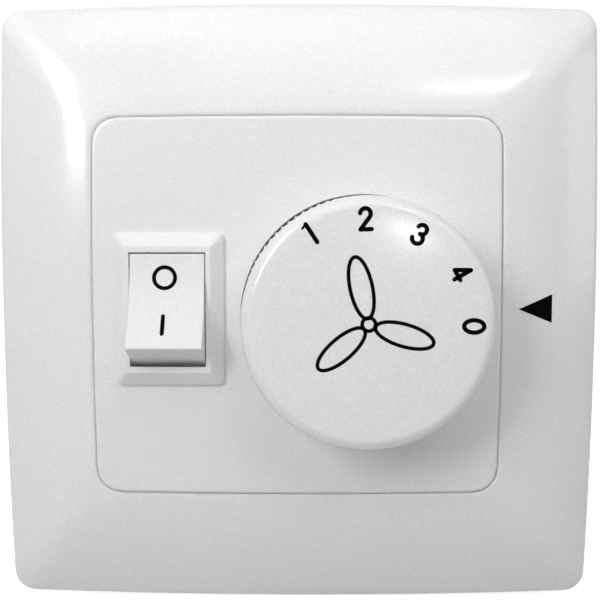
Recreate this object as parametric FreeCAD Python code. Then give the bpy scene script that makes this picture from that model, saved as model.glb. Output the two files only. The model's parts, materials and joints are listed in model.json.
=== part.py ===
import FreeCAD, Part
import math
import os

# Fan speed control switch: a flush wall plate with a rocker switch and a rotary selector, in millimetres.
# Every piece is drawn lying on its back: x to the right, y up the wall, z out of the wall from its face.
# stand_up() then turns it against the wall, so that +Z is up and the front faces -Y.

Vec = FreeCAD.Vector
OUT = Vec(0, 0, 1)
RIGHT = Vec(1, 0, 0)
ORIGIN = Vec(0, 0, 0)
beyond = 1.0            # how far a cutting tool runs past the face that it cuts
flat_enough = 0.000001  # how far out of plane the corners of one flat face may lie

# Outer frame
frame_width = 86.0
frame_height = 86.0
frame_corner = 3.8
frame_bow = 0.75
frame_side = 1.8
frame_edge = 1.6
frame_slope = 30.0
side_runs = 4           # straight runs that stand for the bulge of one side
corner_runs = 4         # straight runs that stand for one round corner
edge_runs = 3           # straight runs that stand for a small round edge
edge_band_count = 3
crown_band_count = 4
hollow_band_count = 2
frame_wall = 1.8
frame_inner_wall = 1.5
frame_lip_edge = 0.45
frame_rib = 1.2
frame_rib_offset = 22.0
panel_proud = 0.4
frame_gap = 0.12
ledge_width = 1.5
ledge_thick = 1.8

# Mounting yoke
yoke_margin = 7.5
yoke_width = frame_width - 2 * yoke_margin
yoke_height = frame_height - 2 * yoke_margin
yoke_thick = 1.2
yoke_corner = 5.0
slot_margin = 5.5
screw_pitch_x = yoke_width - 2 * slot_margin
screw_pitch_y = yoke_height - 2 * slot_margin
slot_width = 4.2
slot_length = 7.0

# Centre plate
panel_width = 56.6
panel_height = 52.5
panel_x = -0.25
panel_y = 0.37
panel_top = 8.0
panel_corner = 3.7
panel_bow = 0.25
panel_edge = 0.5
panel_skin = 1.8
panel_wall = 1.6
panel_rib = 1.0
panel_rib_depth = 1.4

# Knob
knob_x = 8.92
knob_y = -1.05
knob_base_radius = 16.85
knob_top_radius = 16.33
knob_height = 10.05
knob_round = 1.8
knob_sunk = 1.0
knob_wall = 1.7
knob_skin = 1.85
serrations = 90
serration_depth = 0.35
serration_top_gap = 0.5
knob_round_runs = 4
hub_radius = 4.9
knob_ribs = 6
knob_rib = 1.2
knob_rib_depth = 3.8
clip_thick = 0.5
clip_width = 3.6

# Well in the centre plate
well_gap = 0.09
well_depth = 2.0
well_floor = 1.6
well_wall = 1.4
seat_inner = 5.6
seat_outer = 8.6
peg_x = -4.0
peg_reach = 19.5
peg_side = 2.6
peg_shoulder = 4.6

# Rotary switch
shaft_radius = 3.0
shaft_flat = 1.5
shaft_drive_flat = 2.2
shaft_tip_gap = 0.2
collar_radius = 4.4
collar_thick = 0.45
running_fit = 0.05
bushing_radius = 4.9
bushing_reach = 0.3
bushing_hole_gap = 0.1
plate_thick = 1.8
switch_radius = 14.5
switch_sides = 8
lug_side = 2.4
lug_place = 11.0
washer_thick = 0.5
washer_radius = 8.6
washer_teeth = 12
washer_notch = 1.0
nut_across = 14.0
nut_sides = 6
nut_thick = 2.0
index_depth = 6.2
index_bore = 10.35
positions = 12
used_steps = 4
scallop_depth = 0.55
scallop_form = ((0.0, 0.0), (0.3, 0.85), (0.5, 1.0), (0.7, 0.85))
pin_radius = 1.5
pin_nose = 0.5
pin_nose_length = 1.1
pin_length = 3.2
pin_reach = 10.2
pin_angle = 15.0
pin_cover = 0.75
rotor_radius = 9.3
rotor_thick = 5.0
stop_lug_radius = 12.2
stop_lug_width = 24.0
stop_lug_thick = 1.0
stop_lug_angle = 270.0
stop_gap = 0.3
stop_margin = 0.5
wafer_thick = 2.0
wafer_hole_gap = 0.15
contact_rotor_radius = 7.0
blade_inner = 3.4
blade_ring = 6.3
blade_tongue = 8.8
blade_tongue_width = 2.4
blade_thick = 0.4
contact_gap = 0.05
rest_angle = 105.0
clip_strip = 0.5
tab_width = 2.8
tab_reach = 8.0
tab_place = 12.8
tip_place = 7.4
common_tip_place = 5.2
common_angle = 195.0
clip_step = 9.4
stake_place = 11.4
stake_width = 1.6
stake_thick = 0.6
leg_angle = 120.0
leg_width = 5.0
leg_thick = 1.0
leg_tip = 12.4
leg_root = 2.0
shaft_end = 1.2
spring_wire = 0.18
spring_turns = 3
coil_steps = 6

# Rocker switch
rocker_x = -17.8
rocker_y = 0.2
body_width = 13.0
body_height = 19.0
bezel_lap = 0.975
bezel_width = body_width + 2 * bezel_lap
bezel_height = body_height + 2 * bezel_lap
bezel_thick = 1.9
bezel_foot = 0.5
bezel_corner = 0.8
bezel_rim_side = 0.7
bezel_rim_end = 0.85
body_depth = 14.6
body_floor = 1.2
body_end_wall = 0.55
cutout_gap = 0.1
yoke_cutout_gap = 0.2
cap_gap = 0.13
cap_end_gap = 0.1
body_side_wall = 1.32
cap_end_inset = 1.82
cap_width = body_width - 2 * (body_side_wall + cap_gap)
cap_half = body_height / 2 - cap_end_inset
cap_below_rim = 0.1
cap_pivot_depth = 2.55
cap_travel = 34.5
cap_end_taper = 0.8
cap_end_depth = 6.6
mouth_slope = 24.0
cap_skin = 1.2
cap_edge_skin = 1.5
cap_soft_edge = 0.3
cap_ear_half = 3.2
cap_ear_depth = 2.2
trunnion_radius = 1.2
trunnion_length = 1.2
boss_radius = 2.1
boss_depth = 1.5
boss_bore = 1.3
plunger_gap = 0.1
plunger_tip = 6.5
plunger_point = 0.4
plunger_seat = 0.2
barb_reach = 0.9
barb_half = 3.0
barb_tip = 0.5
barb_length = 4.6
barb_gap = 0.1
lever_inset = 3.3
lever_half = body_height / 2 - lever_inset
lever_width = 4.6
lever_thick = 0.5
lever_rise = 0.6
lever_tilt = 7.0
lever_gap = 0.15
contact_inset = 0.8
contact_place = lever_half - contact_inset
contact_radius = 1.2
contact_thick = 0.5
knife_gap = 0.05
knife_width = 0.2
knife_height = 0.5
terminal_width = 4.8
terminal_thick = 0.8
terminal_reach = 8.0
terminal_inset = 2.5
terminal_pitch = body_height / 2 - terminal_inset
terminal_fit = 0.05
rocker_spring_wire = 0.2
rocker_spring_turns = 3

# Heights above the wall that several pieces share
ledge_top = yoke_thick + ledge_thick
frame_crest = panel_top - panel_proud
window_width = panel_width + 2 * frame_gap
window_height = panel_height + 2 * frame_gap
well_radius = knob_base_radius + well_gap
well_top = panel_top - well_depth
well_under = well_top - well_floor
knob_bottom = panel_top - knob_sunk
knob_face = panel_top + knob_height
hub_top = knob_face - knob_skin
grip_top = knob_face - knob_round - serration_top_gap
grip_share = (grip_top - knob_bottom) / (knob_face - knob_round - knob_bottom)
grip_top_radius = knob_base_radius + (knob_top_radius - knob_base_radius) * grip_share
washer_top = well_top + washer_thick
nut_top = washer_top + nut_thick
bushing_top = nut_top + bushing_reach
hub_bottom = bushing_top + clip_thick + contact_gap + shaft_tip_gap
plate_back = -plate_thick
index_back = plate_back - index_depth
rotor_front = plate_back - collar_thick - 2 * running_fit
rotor_back = rotor_front - rotor_thick
pin_z = rotor_front - pin_radius - pin_cover
wafer_back = index_back - wafer_thick
blade_front = wafer_back - contact_gap * 2
blade_back = blade_front - blade_thick
shaft_back = blade_back - shaft_end
tab_tip = wafer_back - tab_reach

# Heights of the rocker switch
rim_top = panel_top + bezel_thick
pivot_z = rim_top - cap_below_rim - cap_pivot_depth
body_back = panel_top - body_depth
floor_top = body_back + body_floor
lever_z = pivot_z - plunger_tip - lever_gap - lever_thick
terminal_tip = body_back - terminal_reach
opening_half = cap_half + cap_end_gap
inner_half = body_height / 2 - body_end_wall
opening_width = cap_width + 2 * cap_gap


def at(x, y):
    """A plan shift as a vector."""
    return Vec(x, y, 0)


def polar(radius, degrees, centre=(knob_x, knob_y)):
    """The plan point at a radius and an angle about a centre."""
    angle = math.radians(degrees)
    return (centre[0] + radius * math.cos(angle), centre[1] + radius * math.sin(angle))


def block(x0, x1, y0, y1, z0, z1):
    """A box between two corners."""
    return Part.makeBox(x1 - x0, y1 - y0, z1 - z0, Vec(x0, y0, z0))


def centred_block(width, height, z0, z1, x=0.0, y=0.0):
    """A box centred on a plan point."""
    return block(x - width / 2, x + width / 2, y - height / 2, y + height / 2, z0, z1)


def disc(radius, z0, z1, centre=(knob_x, knob_y)):
    """An upright cylinder, on the knob's axis unless told otherwise."""
    return Part.makeCylinder(radius, z1 - z0, Vec(centre[0], centre[1], z0), OUT)


def ring(outer, inner, z0, z1, centre=(knob_x, knob_y)):
    """An upright tube."""
    return disc(outer, z0, z1, centre).cut(disc(inner, z0 - beyond, z1 + beyond, centre))


def cross_pin(radius, x0, x1, y, z):
    """A cylinder along x."""
    return Part.makeCylinder(radius, x1 - x0, Vec(x0, y, z), RIGHT)


def spun(shape, degrees, centre=(knob_x, knob_y)):
    """A copy turned about an upright axis."""
    copy = shape.copy()
    copy.rotate(Vec(centre[0], centre[1], 0), OUT, degrees)
    return copy


def joined(shapes):
    """One solid from several that touch or overlap."""
    return shapes[0].multiFuse(shapes[1:]).removeSplitter()


def mix(start, end, share):
    """The value a share of the way from start to end."""
    return start + (end - start) * share


def quarter(radius, steps=edge_runs):
    """Points of a quarter round, from (0, radius) to (radius, 0)."""
    angles = [math.pi / 2 * step / steps for step in range(steps + 1)]
    return [(radius * math.sin(angle), radius * math.cos(angle)) for angle in angles]


def rounded_outline(half_w, half_h, corner, bow, z, x=0.0, y=0.0):
    """A closed outline of short straight runs: round corners, and sides that bulge by bow between them."""
    steps = side_runs if bow > 0 else 1
    radius = corner - bow
    points = []
    for turn in range(4):
        out, along = (half_w, half_h) if turn % 2 == 0 else (half_h, half_w)
        spots = []
        for step in range(steps):
            share = 2 * step / steps - 1
            spots.append((out - bow * share ** 2, (along - corner) * share))
        for step in range(corner_runs):
            angle = math.pi / 2 * step / corner_runs
            spots.append((out - corner + radius * math.cos(angle), along - corner + radius * math.sin(angle)))
        for a, b in spots:
            spot = ((a, b), (-b, a), (-a, -b), (b, -a))[turn]
            points.append(Vec(x + spot[0], y + spot[1], z))
    return points


def polygon(points):
    """A flat face through corner points."""
    return Part.Face(Part.makePolygon(points + [points[0]]))


def raised(points, height):
    """The solid above a flat closed outline."""
    return polygon(points).extrude(OUT * height)


def skinned(outlines):
    """A solid through matching outlines in order, with flat faces between each two."""
    faces = [polygon(outlines[0]), polygon(outlines[-1])]
    for low, high in zip(outlines, outlines[1:]):
        count = len(low)
        for i in range(count):
            a, b, c, d = low[i], low[(i + 1) % count], high[(i + 1) % count], high[i]
            lean = (b - a).cross(d - a)
            if abs(lean.dot(c - a)) < flat_enough * lean.Length:
                faces.append(polygon([a, b, c, d]))
            else:
                faces.append(polygon([a, b, c]))
                faces.append(polygon([a, c, d]))
    solid = Part.Solid(Part.Shell(faces))
    return solid if solid.Volume > 0 else solid.reversed()


def side_profile(points, x0, x1):
    """A profile in the y-z plane, given as corner points, carried from x0 to x1."""
    return polygon([Vec(x0, y, z) for y, z in points]).extrude(RIGHT * (x1 - x0))


def radial_profile(points, width, degrees):
    """A profile in radius and height, as thick as width, at an angle about the knob's axis."""
    face = polygon([Vec(r, -width / 2, z) for r, z in points])
    solid = face.extrude(Vec(0, width, 0))
    solid.translate(at(knob_x, knob_y))
    return spun(solid, degrees)


def tilted_about_x(shape, degrees, y, z):
    """A copy turned about an axis along x."""
    copy = shape.copy()
    copy.rotate(Vec(0, y, z), RIGHT, degrees)
    return copy


def coil(radius, wire, height, turns):
    """A compression spring that stands on the origin, as a chain of short runs along its helix."""
    steps = round(turns * coil_steps)
    sections = []
    for step in range(steps + 1):
        angle = 2 * math.pi * step / coil_steps
        middle = wire + (height - 2 * wire) * step / steps
        corners = []
        for dr, dz in ((-wire, -wire), (wire, -wire), (wire, wire), (-wire, wire)):
            reach = radius + dr
            corners.append(Vec(reach * math.cos(angle), reach * math.sin(angle), middle + dz))
        sections.append(corners)
    return skinned(sections)


# Outer frame

def frame_profile(edge_steps, crown_steps):
    """Share of the way in and height, from the top of the side band over the round edge to the window."""
    band = (frame_width - window_width) / 2
    start = math.radians(frame_slope)
    edge = []
    for step in range(edge_steps + 1):
        angle = mix(math.pi / 2, start, step / edge_steps)
        edge.append((frame_edge * (1 - math.sin(angle)), frame_side + frame_edge * math.cos(angle)))
    inset, height = edge[-1]
    chord_angle = math.atan2(frame_crest - height, band - inset)
    half_turn = start - chord_angle
    radius = math.hypot(frame_crest - height, band - inset) / (2 * math.sin(half_turn))
    crown = []
    for step in range(crown_steps + 1):
        angle = mix(start, start - 2 * half_turn, step / crown_steps)
        crown.append((inset + radius * (math.sin(start) - math.sin(angle)),
                      height + radius * (math.cos(angle) - math.cos(start))))
    return ([(s / band, z) for s, z in edge], [(s / band, z) for s, z in crown])


def frame_section(share, z, bow, inset=0.0):
    """The frame's outline a share of the way in from its outer edge to the window."""
    return rounded_outline(
        mix(frame_width, window_width, share) / 2 - inset,
        mix(frame_height, window_height, share) / 2 - inset,
        mix(frame_corner, panel_corner + frame_gap, share) - inset * (1 - share) / 2,
        mix(bow, min(bow, panel_bow), share), z,
        mix(0.0, panel_x, share), mix(0.0, panel_y, share))


def frame_pillow(edge_steps, crown_steps, bow):
    """The frame's outer form with no hollow and no window, as rings of narrow bands."""
    edge, crown = frame_profile(edge_steps, crown_steps)
    sections = [frame_section(0.0, 0.0, bow)] + [frame_section(s, z, bow) for s, z in edge + crown[1:]]
    return skinned(sections)


def window_outline(grow, z):
    """The window's outline, grown on all sides."""
    return rounded_outline(window_width / 2 + grow, window_height / 2 + grow,
                           panel_corner + frame_gap + grow, panel_bow, z, panel_x, panel_y)


def flared_window():
    """The tool that opens the window and rounds its front edge."""
    lip_start = frame_crest - frame_lip_edge
    straight = raised(window_outline(0.0, ledge_top), lip_start - ledge_top)
    flare = [window_outline(frame_lip_edge - reach, lip_start + rise)
             for rise, reach in quarter(frame_lip_edge)]
    lip = skinned(flare + [window_outline(frame_lip_edge, frame_crest + beyond)])
    through = raised(window_outline(-ledge_width, -beyond), ledge_top + beyond)
    return straight.multiFuse([lip, through])


def frame_ribs():
    """Two stiffening ribs under each side of the frame."""
    reach = max(frame_width, frame_height)
    bottom = yoke_thick + frame_gap
    ribs = []
    for offset in (-frame_rib_offset, frame_rib_offset):
        ribs.append(centred_block(reach, frame_rib, bottom, panel_top, 0.0, offset))
        ribs.append(centred_block(frame_rib, reach, bottom, panel_top, offset, 0.0))
    return ribs


def outer_frame():
    """Moulded surround: convex mitred face, hollow back, window with a ledge that the plate holds down."""
    pillow = frame_pillow(edge_band_count, crown_band_count, frame_bow)
    hollow = frame_pillow(1, hollow_band_count, 0.0)
    hollow.translate(OUT * -frame_wall)
    inside = raised(frame_section(0.0, -2 * beyond, 0.0, frame_wall + frame_bow), panel_top)
    hollow = hollow.common(inside)
    core = raised(window_outline(frame_inner_wall, yoke_thick), panel_top)
    hollow = hollow.cut(core.multiFuse(frame_ribs()))
    return pillow.cut(hollow).cut(flared_window()).removeSplitter()


# Centre plate

def panel_outline(inset, z):
    """The centre plate's outline, drawn in by inset."""
    return rounded_outline(panel_width / 2 - inset, panel_height / 2 - inset, panel_corner - inset / 2,
                           panel_bow, z, panel_x, panel_y)


def panel_block():
    """The centre plate's outer form with its rounded front edge."""
    shoulder = panel_top - panel_edge
    straight = raised(panel_outline(0.0, ledge_top), shoulder - ledge_top)
    sections = [panel_outline(panel_edge - reach, shoulder + rise) for rise, reach in quarter(panel_edge)]
    return straight.fuse(skinned(sections))


def panel_hollow():
    """The space under the plate's skin, around the well and its ribs."""
    under = panel_top - panel_skin
    space = raised(panel_outline(panel_wall, ledge_top - beyond), under - ledge_top + beyond)
    kept = [disc(well_radius + well_wall, well_under, panel_top)]
    for side in (-1, 1):
        kept.append(centred_block(panel_width, panel_rib, under - panel_rib_depth, panel_top,
                                  panel_x, side * peg_reach))
    return space.cut(kept[0].multiFuse(kept[1:]))


def locating_peg(side):
    """A shouldered peg that stands on the yoke and enters its hole."""
    centre = (peg_x, side * peg_reach)
    shoulder = centred_block(peg_shoulder, peg_shoulder, yoke_thick, panel_top - panel_skin, *centre)
    return shoulder.fuse(centred_block(peg_side, peg_side, contact_gap, yoke_thick, *centre))


def centre_plate():
    """Moulded plate with a round well for the knob, a seat on the yoke and the rocker's cut-out."""
    plate = panel_block().cut(panel_hollow())
    seat = ring(seat_outer, seat_inner, yoke_thick, well_under)
    plate = joined([plate, seat, locating_peg(-1), locating_peg(1)])
    well = disc(well_radius, well_top, panel_top + beyond)
    hole = disc(bushing_radius + bushing_hole_gap, 0, well_top + beyond)
    cutout = centred_block(body_width + 2 * cutout_gap, body_height + 2 * cutout_gap,
                           ledge_top, panel_top + beyond, rocker_x, rocker_y)
    return plate.cut(well.multiFuse([hole, cutout]))


# Mounting yoke

def slot(length, width, x, y, upright):
    """A round-ended slot through the yoke."""
    run = (length - width) / 2
    dx, dy = (0, run) if upright else (run, 0)
    ends = [disc(width / 2, -beyond, yoke_thick + beyond, (x + s * dx, y + s * dy)) for s in (-1, 1)]
    middle = centred_block(max(2 * dx, width * upright), max(2 * dy, width * (not upright)),
                           -beyond, yoke_thick + beyond, x, y)
    return middle.multiFuse(ends)


def mounting_yoke():
    """Pressed steel yoke with four slots for the wall box screws."""
    plate = raised(rounded_outline(yoke_width / 2, yoke_height / 2, yoke_corner, 0.0, 0.0), yoke_thick)
    cuts = [disc(bushing_radius + bushing_hole_gap, -beyond, yoke_thick + beyond)]
    lug_hole = lug_side + 2 * bushing_hole_gap
    cuts.append(centred_block(lug_hole, lug_hole, -beyond, yoke_thick + beyond, knob_x, knob_y + lug_place))
    cuts.append(centred_block(body_width + 2 * yoke_cutout_gap, body_height + 2 * yoke_cutout_gap,
                              -beyond, yoke_thick + beyond, rocker_x, rocker_y))
    for side in (-1, 1):
        hole = peg_side + 2 * bushing_hole_gap
        cuts.append(centred_block(hole, hole, -beyond, yoke_thick + beyond, peg_x, side * peg_reach))
        cuts.append(slot(slot_length, slot_width, side * screw_pitch_x / 2, 0.0, False))
        cuts.append(slot(slot_length, slot_width, 0.0, side * screw_pitch_y / 2, True))
    return plate.cut(cuts[0].multiFuse(cuts[1:]))


# Knob

def grip_outline(radius, z):
    """The grip's outline at a height, with a ridge and a groove for each serration."""
    root = radius * (1 - serration_depth / knob_base_radius)
    points = []
    for step in range(serrations):
        points.append(Vec(*polar(radius, step * 360 / serrations), z))
        points.append(Vec(*polar(root, (step + 0.5) * 360 / serrations), z))
    return points


def head_outline(radius, z):
    """The plain outline above the grip, with a corner over each ridge."""
    return [Vec(*polar(radius, step * 360 / serrations), z) for step in range(serrations)]


def knob_body():
    """The grip with its head, whose edge is rounded by narrow bands."""
    shoulder_z = knob_face - knob_round
    round_r = knob_top_radius - knob_round
    grip = skinned([grip_outline(knob_base_radius, knob_bottom), grip_outline(grip_top_radius, grip_top)])
    head = [head_outline(grip_top_radius, grip_top)]
    for rise, reach in quarter(knob_round, knob_round_runs):
        head.append(head_outline(round_r + reach, shoulder_z + rise))
    return grip.fuse(skinned(head)).removeSplitter()


def knob_hollow():
    """The space inside the knob, between its wall, face, hub and ribs."""
    roof = disc(knob_top_radius - knob_wall, knob_bottom - beyond, hub_top)
    kept = [disc(hub_radius, hub_bottom, knob_face)]
    rib = centred_block(2 * knob_top_radius, knob_rib, hub_top - knob_rib_depth, knob_face, knob_x, knob_y)
    for step in range(knob_ribs // 2):
        kept.append(spun(rib, step * 360 / knob_ribs))
    return roof.cut(kept[0].multiFuse(kept[1:]))


def d_bore(radius, flat, z0, z1):
    """A round bore with one flat, on the side away from the pointer."""
    bore = disc(radius, z0, z1)
    waste = block(knob_x - 2 * radius, knob_x - flat, knob_y - radius, knob_y + radius, z0, z1)
    return bore.cut(waste)


def knob():
    """Hollow knob with a serrated wall, a hub with a D bore and ribs."""
    body = knob_body().cut(knob_hollow())
    flat = shaft_flat + clip_thick + running_fit
    return body.cut(d_bore(shaft_radius + running_fit, flat, hub_bottom - beyond, hub_top))


def knob_clip():
    """Flat spring that presses the shaft's flat, with a foot under the hub."""
    inner = -shaft_flat
    outer = -(shaft_flat + clip_thick)
    points = [(inner, hub_top - clip_thick), (inner, hub_bottom - clip_thick),
              (-hub_radius, hub_bottom - clip_thick), (-hub_radius, hub_bottom), (outer, hub_bottom),
              (outer, hub_top - clip_thick)]
    return radial_profile(points, clip_width, 0)


# Rotary switch

def rotary_shaft():
    """Shaft with a D flat for the knob, a collar and a two-flat drive for the rotors."""
    shaft = disc(shaft_radius, shaft_back, hub_top - shaft_tip_gap)
    collar_front = plate_back - running_fit
    shaft = shaft.fuse(disc(collar_radius, collar_front - collar_thick, collar_front))
    flat = block(knob_x - 2 * shaft_radius, knob_x - shaft_flat, knob_y - shaft_radius, knob_y + shaft_radius,
                 hub_bottom - clip_thick, hub_top)
    wide = 2 * shaft_radius
    low = collar_front - collar_thick
    drive = centred_block(wide, wide, shaft_back - beyond, low, knob_x, knob_y)
    drive = drive.cut(centred_block(2 * wide, 2 * shaft_drive_flat, shaft_back - beyond, low, knob_x, knob_y))
    return shaft.cut(flat.fuse(drive))


def drive_hole(z0, z1):
    """The two-flat hole that sits on the shaft."""
    hole = disc(shaft_radius + running_fit, z0, z1)
    flats = centred_block(4 * shaft_radius, 2 * (shaft_drive_flat + running_fit), z0, z1, knob_x, knob_y)
    return hole.common(flats)


def even_sided(reach, sides, flat_angle, z):
    """The outline of an even-sided form about the knob's axis, with its flats at a distance and an angle."""
    corner = reach / math.cos(math.pi / sides)
    return [Vec(*polar(corner, flat_angle + (step + 1 / 2) * 360 / sides), z) for step in range(sides)]


def octagon(z0, z1):
    """The eight-sided form that the switch's plate, housing and wafer share, with flats under the legs."""
    return raised(even_sided(switch_radius, switch_sides, leg_angle, z0), z1 - z0)


def plate_leg(degrees):
    """A leg of the plate, bent round the switch and folded over its back."""
    inner = switch_radius + contact_gap
    outer = inner + leg_thick
    low = wafer_back - leg_thick
    root = switch_radius - leg_root
    points = [(root, 0.0), (outer, 0.0), (outer, low), (leg_tip, low), (leg_tip, wafer_back),
              (inner, wafer_back), (inner, plate_back), (root, plate_back)]
    return radial_profile(points, leg_width, degrees)


def bushing_plate():
    """Plate with two legs that hold the switch together, and the bushing that passes the centre plate."""
    lug = centred_block(lug_side, lug_side, 0.0, yoke_thick - contact_gap, knob_x, knob_y + lug_place)
    parts = [octagon(plate_back, 0.0), disc(bushing_radius, 0.0, bushing_top), lug,
             plate_leg(leg_angle), plate_leg(leg_angle + 180)]
    return joined(parts).cut(disc(shaft_radius + running_fit, plate_back - beyond, bushing_top + beyond))


def lock_washer():
    """Washer with teeth round its rim."""
    rim = []
    for step in range(2 * washer_teeth):
        reach = washer_radius - washer_notch * (step % 2)
        rim.append(Vec(*polar(reach, step * 180 / washer_teeth), well_top))
    bore = disc(bushing_radius + bushing_hole_gap, well_top - beyond, washer_top + beyond)
    return raised(rim, washer_thick).cut(bore)


def bushing_nut():
    """Hexagon nut."""
    body = raised(even_sided(nut_across / 2, nut_sides, 0.0, washer_top), nut_thick)
    return body.cut(disc(bushing_radius + running_fit, washer_top - beyond, nut_top + beyond))


def sector(radius, start, end, z0, z1):
    """A wedge of a disc between two angles."""
    wedge = Part.makeCylinder(radius, z1 - z0, Vec(0, 0, z0), OUT, end - start)
    wedge.rotate(ORIGIN, OUT, start)
    wedge.translate(at(knob_x, knob_y))
    return wedge


def scalloped_bore():
    """The tool for the housing's bore, with a scallop for each position."""
    points = []
    for step in range(positions):
        for share, rise in scallop_form:
            spot = polar(index_bore + rise * scallop_depth, (step + share) * 360 / positions)
            points.append(Vec(*spot, index_back - beyond))
    return raised(points, index_depth + 2 * beyond)


def index_housing():
    """Ring with a scallop for each position, and a groove that stops the rotor's lug."""
    body = octagon(index_back, plate_back)
    travel = used_steps * 360 / positions
    half = stop_lug_width / 2 + stop_margin
    stop = sector(stop_lug_radius + stop_gap, stop_lug_angle - travel - half, stop_lug_angle + half,
                  index_back - beyond, rotor_back + stop_lug_thick + stop_gap)
    return body.cut(scalloped_bore().fuse(stop))


def cross_bore(radius, r0, r1, degrees):
    """A round bore that points outward from the knob's axis."""
    bore = Part.makeCylinder(radius, r1 - r0, Vec(knob_x + r0, knob_y, pin_z), RIGHT)
    return spun(bore, degrees)


def index_rotor():
    """Wheel on the shaft with a bore for the detent pin and the stop lug."""
    wheel = disc(rotor_radius, rotor_back, rotor_front)
    half = stop_lug_width / 2
    lug = sector(stop_lug_radius, stop_lug_angle - half, stop_lug_angle + half,
                 rotor_back, rotor_back + stop_lug_thick)
    wheel = wheel.fuse(lug).cut(drive_hole(rotor_back - beyond, rotor_front + beyond))
    return wheel.cut(cross_bore(pin_radius + running_fit, shaft_radius, 2 * rotor_radius, pin_angle))


def detent_pin():
    """Pin with a tapered nose, at the reach at which it passes the ridges."""
    nose_root = pin_reach - pin_nose_length
    pin = cross_bore(pin_radius, pin_reach - pin_length, nose_root, pin_angle)
    nose = Part.makeCone(pin_radius, pin_nose, pin_nose_length, Vec(knob_x + nose_root, knob_y, pin_z), RIGHT)
    return pin.fuse(spun(nose, pin_angle))


def detent_spring():
    """The spring behind the pin."""
    seat = shaft_radius + running_fit
    spring = coil(pin_radius - 2 * spring_wire, spring_wire, pin_reach - pin_length - seat, spring_turns)
    spring.rotate(ORIGIN, Vec(0, 1, 0), 90)
    spring.translate(Vec(knob_x + seat, knob_y, pin_z))
    return spun(spring, pin_angle)


def clip_angles():
    """The angle of each speed's fixed contact, by speed."""
    step = 360 / positions
    return {speed: rest_angle - (used_steps + 1 - speed) * step for speed in range(1, used_steps + 1)}


def stake(angle, grow, z0, z1):
    """The lug that holds a fixed contact in the wafer, or its slot when grown."""
    lug = centred_block(stake_thick + 2 * grow, stake_width + 2 * grow, z0, z1, knob_x + stake_place, knob_y)
    return spun(lug, angle)


def contact_wafer():
    """Insulating disc that carries the fixed contacts."""
    wafer = octagon(wafer_back, index_back)
    cuts = [disc(contact_rotor_radius + wafer_hole_gap, wafer_back - beyond, index_back + beyond)]
    for angle in list(clip_angles().values()) + [common_angle]:
        cuts.append(stake(angle, running_fit, wafer_back - beyond, index_back + beyond))
    return wafer.cut(cuts[0].multiFuse(cuts[1:]))


def contact_rotor():
    """Insulating disc that turns inside the wafer."""
    disc_body = disc(contact_rotor_radius, blade_front, rotor_back - contact_gap)
    return disc_body.cut(drive_hole(blade_front - beyond, rotor_back + beyond))


def rotor_blade():
    """Contact ring with the tongue that reaches the speed contacts."""
    blade = ring(blade_ring, blade_inner, blade_back, blade_front)
    tongue = centred_block(blade_tongue - blade_inner, blade_tongue_width, blade_back, blade_front,
                           knob_x + (blade_tongue + blade_inner) / 2, knob_y)
    return blade.fuse(spun(tongue, rest_angle)).removeSplitter()


def fixed_clip(tip, angle):
    """A bent strip that presses on the blade, lies on the wafer and ends in a tab."""
    low = blade_back - contact_gap
    face = wafer_back
    bend = clip_step + clip_strip
    points = [(tip, low), (clip_step, low), (bend, face), (tab_place + clip_strip, face),
              (tab_place + clip_strip, tab_tip), (tab_place, tab_tip), (tab_place, face - clip_strip),
              (bend + clip_strip / 2, face - clip_strip), (clip_step + clip_strip / 2, low - clip_strip),
              (tip, low - clip_strip)]
    strip = radial_profile(points, tab_width, angle)
    return strip.fuse(stake(angle, 0.0, face, index_back - contact_gap)).removeSplitter()


# Rocker switch

def bezel():
    """The sloped bezel that lies on the centre plate."""
    outer = (bezel_width / 2, bezel_height / 2, bezel_corner, 0.0)
    inner = (opening_width / 2 + bezel_rim_side, opening_half + bezel_rim_end, bezel_corner / 2, 0.0)
    foot = rounded_outline(*outer, panel_top, rocker_x, rocker_y)
    middle = rounded_outline(*outer, panel_top + bezel_foot, rocker_x, rocker_y)
    rim = rounded_outline(*inner, rim_top, rocker_x, rocker_y)
    return raised(foot, bezel_foot).fuse(skinned([middle, rim]))


def body_hollow():
    """The space inside the rocker's body, narrowest at the bezel's rim."""
    neck = rim_top - cap_below_rim - (inner_half - opening_half) / math.tan(math.radians(mouth_slope))
    half = [(opening_half, rim_top + beyond), (opening_half, rim_top - cap_below_rim), (inner_half, neck),
            (inner_half, floor_top)]
    points = half + [(-y, z) for y, z in reversed(half)]
    points = [(rocker_y + y, z) for y, z in points]
    return side_profile(points, rocker_x - opening_width / 2, rocker_x + opening_width / 2)


def snap_barb(side):
    """A barb at one end of the body, which snaps behind the plate's skin."""
    top = panel_top - panel_skin - barb_gap
    wall = body_height / 2
    points = [(wall - barb_tip, top), (wall + barb_reach, top), (wall + barb_reach, top - barb_tip),
              (wall - barb_tip, top - barb_length)]
    points = [(rocker_y + side * y, z) for y, z in points]
    return side_profile(points, rocker_x - barb_half, rocker_x + barb_half)


def terminal_places():
    """The y of the common and the switched terminal."""
    return (rocker_y, rocker_y + terminal_pitch)


def rocker_housing():
    """Moulded body with bezel, barbs, pivot holes and slots for the terminals."""
    body = centred_block(body_width, body_height, body_back, panel_top, rocker_x, rocker_y)
    core = centred_block(body_width, 2 * inner_half, body_back, panel_top, rocker_x, rocker_y)
    barbs = [snap_barb(side).cut(core) for side in (-1, 1)]
    body = joined([body, bezel()]).cut(body_hollow())
    body = joined([body] + barbs)
    cuts = [cross_pin(trunnion_radius + running_fit, rocker_x - body_width / 2, rocker_x + body_width / 2,
                      rocker_y, pivot_z)]
    for y in terminal_places():
        cuts.append(centred_block(terminal_width + 2 * terminal_fit, terminal_thick + 2 * terminal_fit,
                                  body_back - beyond, floor_top + beyond, rocker_x, y))
    return body.cut(cuts[0].multiFuse(cuts[1:]))


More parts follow.
